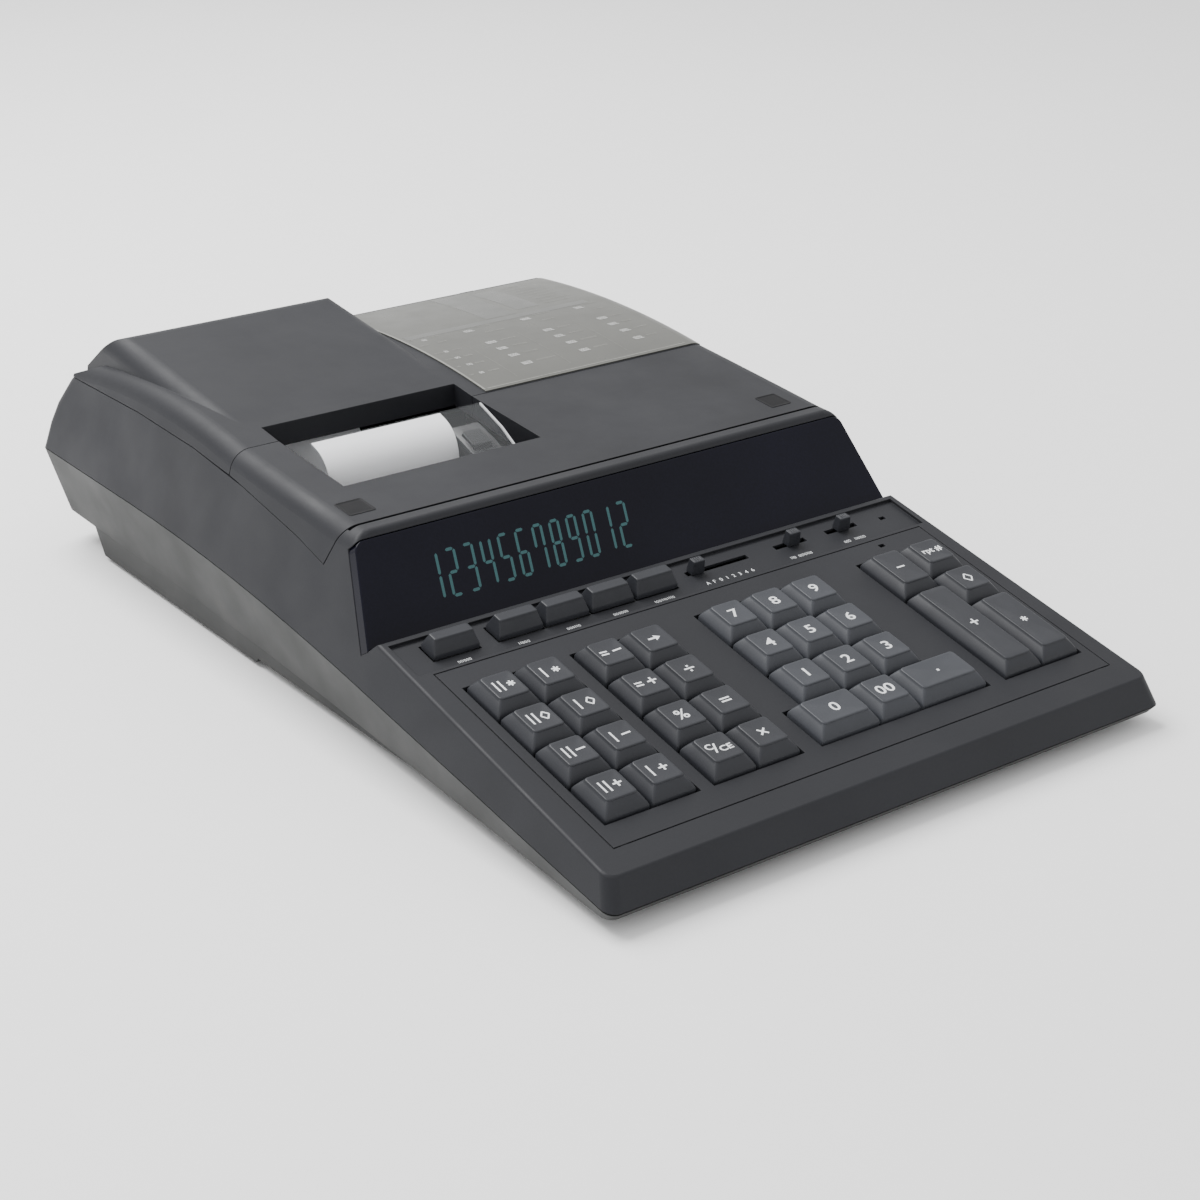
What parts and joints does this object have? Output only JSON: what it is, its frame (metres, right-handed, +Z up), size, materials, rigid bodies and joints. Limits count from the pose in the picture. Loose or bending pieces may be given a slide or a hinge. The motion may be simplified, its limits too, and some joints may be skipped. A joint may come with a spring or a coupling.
{
  "type": "printing desk calculator",
  "caption": "Desktop printing calculator with a sloped keyboard deck, tilted dark display window, paper exit bay with clear tear guide and a hinged paper cover.",
  "frame": {"origin": "on the table under the centre of the bounding box", "axes": "+X to the user's right, +Y from the keyboard to the rear, +Z up"},
  "size_m": [0.2508, 0.3999, 0.0948],
  "materials": {
    "case_upper": "fine moulded texture",
    "case_lower": "fine moulded texture",
    "key_light": "smooth moulded",
    "key_dark": "smooth moulded",
    "window_black": "polished",
    "tube_glass": "clear",
    "plate": "satin printed",
    "clear_guide": "clear",
    "paper": "uncoated paper",
    "roller_rubber": "ground rubber",
    "gear_white": "moulded",
    "frame_steel": "plated",
    "mechanism_black": "moulded",
    "board_green": "lacquered board",
    "foot_rubber": "moulded rubber"
  },
  "bodies": {
    "root": {"bottom_case": "case_lower", "case_screws": "frame_steel", "circuit_boards": "board_green", "display_module": "tube_glass", "display_window": "window_black", "front_cover": "case_upper", "paper_strip": "paper", "power_inlet": "mechanism_black", "printer_frame": "frame_steel", "rubber_feet": "foot_rubber", "tear_guide": "clear_guide", "top_case": "case_upper"},
    "rear_cover": {"rear_cover": "case_upper", "instruction_plate": "plate"},
    "paper_roll": {"paper_roll": "paper"},
    "platen": {"platen_roller": "roller_rubber"},
    "drive_gear": {"drive_gear": "gear_white"},
    "print_carriage": {"print_carriage": "mechanism_black"},
    "power_switch": {"power_switch": "key_dark"},
    "key_0": {"key_0": "key_light"},
    "key_00": {"key_00": "key_light"},
    "key_1": {"key_1": "key_light"},
    "key_2": {"key_2": "key_light"},
    "key_3": {"key_3": "key_light"},
    "key_4": {"key_4": "key_light"},
    "key_5": {"key_5": "key_light"},
    "key_6": {"key_6": "key_light"},
    "key_7": {"key_7": "key_light"},
    "key_8": {"key_8": "key_light"},
    "key_9": {"key_9": "key_light"},
    "key_clear": {"key_clear": "key_dark"},
    "key_divide": {"key_divide": "key_dark"},
    "key_equals": {"key_equals": "key_dark"},
    "key_equals_minus": {"key_equals_minus": "key_dark"},
    "key_equals_plus": {"key_equals_plus": "key_dark"},
    "key_feed": {"key_feed": "key_dark"},
    "key_memory_one_minus": {"key_memory_one_minus": "key_dark"},
    "key_memory_one_plus": {"key_memory_one_plus": "key_dark"},
    "key_memory_one_subtotal": {"key_memory_one_subtotal": "key_dark"},
    "key_memory_one_total": {"key_memory_one_total": "key_dark"},
    "key_memory_two_minus": {"key_memory_two_minus": "key_dark"},
    "key_memory_two_plus": {"key_memory_two_plus": "key_dark"},
    "key_memory_two_subtotal": {"key_memory_two_subtotal": "key_dark"},
    "key_memory_two_total": {"key_memory_two_total": "key_dark"},
    "key_minus": {"key_minus": "key_dark"},
    "key_multiply": {"key_multiply": "key_dark"},
    "key_percent": {"key_percent": "key_dark"},
    "key_plus": {"key_plus": "key_dark"},
    "key_point": {"key_point": "key_light"},
    "key_repeat": {"key_repeat": "key_dark"},
    "key_subtotal": {"key_subtotal": "key_dark"},
    "key_total": {"key_total": "key_dark"},
    "function_button_1": {"function_button_1": "key_dark"},
    "function_button_2": {"function_button_2": "key_dark"},
    "function_button_3": {"function_button_3": "key_dark"},
    "function_button_4": {"function_button_4": "key_dark"},
    "function_button_5": {"function_button_5": "key_dark"},
    "slide_switch_left": {"slide_switch_left": "key_dark"},
    "slide_switch_middle": {"slide_switch_middle": "key_dark"},
    "slide_switch_right": {"slide_switch_right": "key_dark"}
  },
  "joints": [
    {"name": "key_0_press", "type": "slide", "parent": "root", "child": "key_0", "axis": [0, 0.1994, -0.9799], "range_m": [0, 0.0035], "stiffness_N_per_m": 160, "springref_m": -0.002},
    {"name": "key_00_press", "type": "slide", "parent": "root", "child": "key_00", "axis": [0, 0.1994, -0.9799], "range_m": [0, 0.0035], "stiffness_N_per_m": 160, "springref_m": -0.002},
    {"name": "key_1_press", "type": "slide", "parent": "root", "child": "key_1", "axis": [0, 0.1994, -0.9799], "range_m": [0, 0.0035], "stiffness_N_per_m": 160, "springref_m": -0.002},
    {"name": "key_2_press", "type": "slide", "parent": "root", "child": "key_2", "axis": [0, 0.1994, -0.9799], "range_m": [0, 0.0035], "stiffness_N_per_m": 160, "springref_m": -0.002},
    {"name": "key_3_press", "type": "slide", "parent": "root", "child": "key_3", "axis": [0, 0.1994, -0.9799], "range_m": [0, 0.0035], "stiffness_N_per_m": 160, "springref_m": -0.002},
    {"name": "key_4_press", "type": "slide", "parent": "root", "child": "key_4", "axis": [0, 0.1994, -0.9799], "range_m": [0, 0.0035], "stiffness_N_per_m": 160, "springref_m": -0.002},
    {"name": "key_5_press", "type": "slide", "parent": "root", "child": "key_5", "axis": [0, 0.1994, -0.9799], "range_m": [0, 0.0035], "stiffness_N_per_m": 160, "springref_m": -0.002},
    {"name": "key_6_press", "type": "slide", "parent": "root", "child": "key_6", "axis": [0, 0.1994, -0.9799], "range_m": [0, 0.0035], "stiffness_N_per_m": 160, "springref_m": -0.002},
    {"name": "key_7_press", "type": "slide", "parent": "root", "child": "key_7", "axis": [0, 0.1994, -0.9799], "range_m": [0, 0.0035], "stiffness_N_per_m": 160, "springref_m": -0.002},
    {"name": "key_8_press", "type": "slide", "parent": "root", "child": "key_8", "axis": [0, 0.1994, -0.9799], "range_m": [0, 0.0035], "stiffness_N_per_m": 160, "springref_m": -0.002},
    {"name": "key_9_press", "type": "slide", "parent": "root", "child": "key_9", "axis": [0, 0.1994, -0.9799], "range_m": [0, 0.0035], "stiffness_N_per_m": 160, "springref_m": -0.002},
    {"name": "key_clear_press", "type": "slide", "parent": "root", "child": "key_clear", "axis": [0, 0.1994, -0.9799], "range_m": [0, 0.0035], "stiffness_N_per_m": 160, "springref_m": -0.002},
    {"name": "key_divide_press", "type": "slide", "parent": "root", "child": "key_divide", "axis": [0, 0.1994, -0.9799], "range_m": [0, 0.0035], "stiffness_N_per_m": 160, "springref_m": -0.002},
    {"name": "key_equals_press", "type": "slide", "parent": "root", "child": "key_equals", "axis": [0, 0.1994, -0.9799], "range_m": [0, 0.0035], "stiffness_N_per_m": 160, "springref_m": -0.002},
    {"name": "key_equals_minus_press", "type": "slide", "parent": "root", "child": "key_equals_minus", "axis": [0, 0.1994, -0.9799], "range_m": [0, 0.0035], "stiffness_N_per_m": 160, "springref_m": -0.002},
    {"name": "key_equals_plus_press", "type": "slide", "parent": "root", "child": "key_equals_plus", "axis": [0, 0.1994, -0.9799], "range_m": [0, 0.0035], "stiffness_N_per_m": 160, "springref_m": -0.002},
    {"name": "key_feed_press", "type": "slide", "parent": "root", "child": "key_feed", "axis": [0, 0.1994, -0.9799], "range_m": [0, 0.0035], "stiffness_N_per_m": 160, "springref_m": -0.002},
    {"name": "key_memory_one_minus_press", "type": "slide", "parent": "root", "child": "key_memory_one_minus", "axis": [0, 0.1994, -0.9799], "range_m": [0, 0.0035], "stiffness_N_per_m": 160, "springref_m": -0.002},
    {"name": "key_memory_one_plus_press", "type": "slide", "parent": "root", "child": "key_memory_one_plus", "axis": [0, 0.1994, -0.9799], "range_m": [0, 0.0035], "stiffness_N_per_m": 160, "springref_m": -0.002},
    {"name": "key_memory_one_subtotal_press", "type": "slide", "parent": "root", "child": "key_memory_one_subtotal", "axis": [0, 0.1994, -0.9799], "range_m": [0, 0.0035], "stiffness_N_per_m": 160, "springref_m": -0.002},
    {"name": "key_memory_one_total_press", "type": "slide", "parent": "root", "child": "key_memory_one_total", "axis": [0, 0.1994, -0.9799], "range_m": [0, 0.0035], "stiffness_N_per_m": 160, "springref_m": -0.002},
    {"name": "key_memory_two_minus_press", "type": "slide", "parent": "root", "child": "key_memory_two_minus", "axis": [0, 0.1994, -0.9799], "range_m": [0, 0.0035], "stiffness_N_per_m": 160, "springref_m": -0.002},
    {"name": "key_memory_two_plus_press", "type": "slide", "parent": "root", "child": "key_memory_two_plus", "axis": [0, 0.1994, -0.9799], "range_m": [0, 0.0035], "stiffness_N_per_m": 160, "springref_m": -0.002},
    {"name": "key_memory_two_subtotal_press", "type": "slide", "parent": "root", "child": "key_memory_two_subtotal", "axis": [0, 0.1994, -0.9799], "range_m": [0, 0.0035], "stiffness_N_per_m": 160, "springref_m": -0.002},
    {"name": "key_memory_two_total_press", "type": "slide", "parent": "root", "child": "key_memory_two_total", "axis": [0, 0.1994, -0.9799], "range_m": [0, 0.0035], "stiffness_N_per_m": 160, "springref_m": -0.002},
    {"name": "key_minus_press", "type": "slide", "parent": "root", "child": "key_minus", "axis": [0, 0.1994, -0.9799], "range_m": [0, 0.0035], "stiffness_N_per_m": 160, "springref_m": -0.002},
    {"name": "key_multiply_press", "type": "slide", "parent": "root", "child": "key_multiply", "axis": [0, 0.1994, -0.9799], "range_m": [0, 0.0035], "stiffness_N_per_m": 160, "springref_m": -0.002},
    {"name": "key_percent_press", "type": "slide", "parent": "root", "child": "key_percent", "axis": [0, 0.1994, -0.9799], "range_m": [0, 0.0035], "stiffness_N_per_m": 160, "springref_m": -0.002},
    {"name": "key_plus_press", "type": "slide", "parent": "root", "child": "key_plus", "axis": [0, 0.1994, -0.9799], "range_m": [0, 0.0035], "stiffness_N_per_m": 160, "springref_m": -0.002},
    {"name": "key_point_press", "type": "slide", "parent": "root", "child": "key_point", "axis": [0, 0.1994, -0.9799], "range_m": [0, 0.0035], "stiffness_N_per_m": 160, "springref_m": -0.002},
    {"name": "key_repeat_press", "type": "slide", "parent": "root", "child": "key_repeat", "axis": [0, 0.1994, -0.9799], "range_m": [0, 0.0035], "stiffness_N_per_m": 160, "springref_m": -0.002},
    {"name": "key_subtotal_press", "type": "slide", "parent": "root", "child": "key_subtotal", "axis": [0, 0.1994, -0.9799], "range_m": [0, 0.0035], "stiffness_N_per_m": 160, "springref_m": -0.002},
    {"name": "key_total_press", "type": "slide", "parent": "root", "child": "key_total", "axis": [0, 0.1994, -0.9799], "range_m": [0, 0.0035], "stiffness_N_per_m": 160, "springref_m": -0.002},
    {"name": "function_button_1_press", "type": "slide", "parent": "root", "child": "function_button_1", "axis": [0, 0.1994, -0.9799], "range_m": [0, 0.0015], "stiffness_N_per_m": 300, "springref_m": -0.001},
    {"name": "function_button_2_press", "type": "slide", "parent": "root", "child": "function_button_2", "axis": [0, 0.1994, -0.9799], "range_m": [0, 0.0015], "stiffness_N_per_m": 300, "springref_m": -0.001},
    {"name": "function_button_3_press", "type": "slide", "parent": "root", "child": "function_button_3", "axis": [0, 0.1994, -0.9799], "range_m": [0, 0.0015], "stiffness_N_per_m": 300, "springref_m": -0.001},
    {"name": "function_button_4_press", "type": "slide", "parent": "root", "child": "function_button_4", "axis": [0, 0.1994, -0.9799], "range_m": [0, 0.0015], "stiffness_N_per_m": 300, "springref_m": -0.001},
    {"name": "function_button_5_press", "type": "slide", "parent": "root", "child": "function_button_5", "axis": [0, 0.1994, -0.9799], "range_m": [0, 0.0015], "stiffness_N_per_m": 300, "springref_m": -0.001},
    {"name": "slide_switch_left_travel", "type": "slide", "parent": "root", "child": "slide_switch_left", "axis": [1, 0, 0], "range_m": [0, 0.021]},
    {"name": "slide_switch_middle_travel", "type": "slide", "parent": "root", "child": "slide_switch_middle", "axis": [1, 0, 0], "range_m": [-0.0045, 0.0045]},
    {"name": "slide_switch_right_travel", "type": "slide", "parent": "root", "child": "slide_switch_right", "axis": [1, 0, 0], "range_m": [-0.0045, 0.0045]},
    {"name": "rear_cover_hinge", "type": "hinge", "parent": "root", "child": "rear_cover", "pos_m": [0, 0.1835, 0.0715], "axis": [-1, 0, 0], "range_deg": [0, 68]},
    {"name": "paper_roll_spin", "type": "hinge", "parent": "root", "child": "paper_roll", "pos_m": [-0.0625, 0.118, 0.0495], "axis": [1, 0, 0], "continuous": true},
    {"name": "platen_spin", "type": "hinge", "parent": "root", "child": "platen", "pos_m": [-0.0525, 0.026, 0.056], "axis": [1, 0, 0], "continuous": true},
    {"name": "drive_gear_spin", "type": "hinge", "parent": "root", "child": "drive_gear", "pos_m": [0, 0.026, 0.04], "axis": [1, 0, 0], "continuous": true},
    {"name": "print_carriage_travel", "type": "slide", "parent": "root", "child": "print_carriage", "axis": [1, 0, 0], "range_m": [-0.022, 0.024]},
    {"name": "power_switch_rock", "type": "hinge", "parent": "root", "child": "power_switch", "pos_m": [0.077, 0.191, 0.029], "axis": [1, 0, 0], "range_deg": [-6, 6]}
  ],
  "couplings": [
    {"joint": "drive_gear_spin", "follows": "platen_spin", "ratio": -1.6667},
    {"joint": "paper_roll_spin", "follows": "platen_spin", "ratio": 0.24833}
  ]
}
